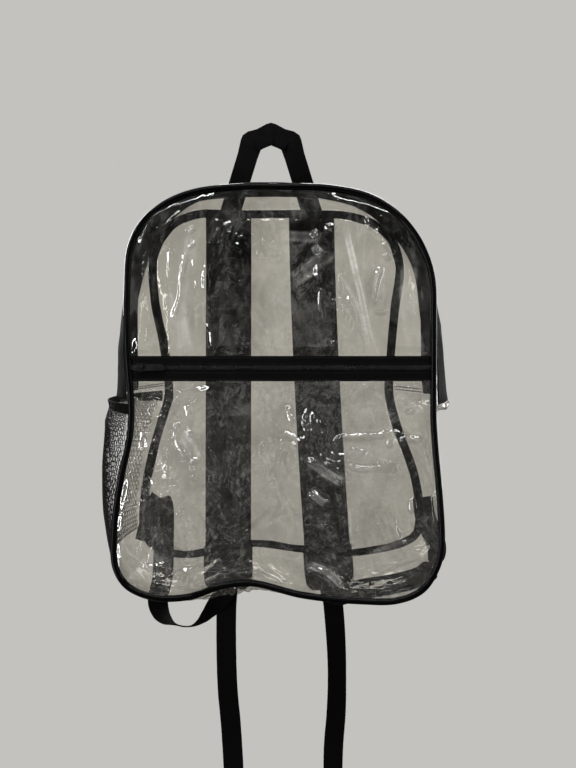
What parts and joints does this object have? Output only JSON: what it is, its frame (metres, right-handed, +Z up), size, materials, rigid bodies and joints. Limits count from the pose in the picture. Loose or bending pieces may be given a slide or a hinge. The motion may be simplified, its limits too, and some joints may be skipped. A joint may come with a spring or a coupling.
{
  "type": "clear vinyl backpack",
  "caption": "Clear vinyl backpack with black piping, zipped front pocket, mesh side pocket, padded shoulder straps and a webbing haul loop, shown hanging empty.",
  "frame": {"origin": "inside top of the haul loop, where the bag hangs on a hook", "axes": "+Z up, front of the bag towards -Y, +X to the right as seen from the front"},
  "size_m": [0.398, 0.1739, 0.841],
  "materials": {
    "clear_vinyl": "clear flexible vinyl, crumpled, glossy",
    "piping": "glossy black vinyl piping",
    "zip_tape": "black woven zip tape",
    "zip_coil": "black nylon coil",
    "zip_metal": "black enamelled zip slider and pull",
    "mesh": "black knitted net",
    "webbing": "black ribbed polyester webbing",
    "strap_cloth": "black padded strap cloth",
    "buckle_plastic": "moulded black plastic"
  },
  "bodies": {
    "bag": {"front_piping": "piping", "back_piping": "piping", "front_panel": "clear_vinyl", "pocket_panel": "clear_vinyl", "pocket_backing": "clear_vinyl", "back_panel": "clear_vinyl", "gusset_front_lip": "clear_vinyl", "gusset_rear_strip": "clear_vinyl", "lower_gusset": "clear_vinyl", "main_zip_band_front": "zip_tape", "main_zip_tape_rear": "zip_tape", "main_zip_chain": "zip_coil", "main_zip_slider": "zip_metal", "pocket_zip_tape_upper": "zip_tape", "pocket_zip_tape_lower": "zip_tape", "pocket_zip_chain": "zip_coil", "pocket_zip_slider": "zip_metal", "mesh_pocket": "mesh", "mesh_pocket_binding": "webbing", "haul_loop": "webbing", "shoulder_strap_left": "strap_cloth", "shoulder_strap_right": "strap_cloth", "strap_tab_left": "webbing", "strap_tab_right": "webbing", "strap_adjuster_left": "buckle_plastic", "strap_adjuster_right": "buckle_plastic", "adjuster_webbing_left": "webbing", "adjuster_webbing_right": "webbing"},
    "zip_pull": {"pocket_zip_pull": "zip_metal"}
  },
  "joints": [
    {"name": "pocket_zip_pull_swing", "type": "hinge", "parent": "bag", "child": "zip_pull", "pos_m": [-0.12619, -0.1357, -0.27635], "axis": [0, 0, -1], "range_deg": [0, 170]}
  ]
}
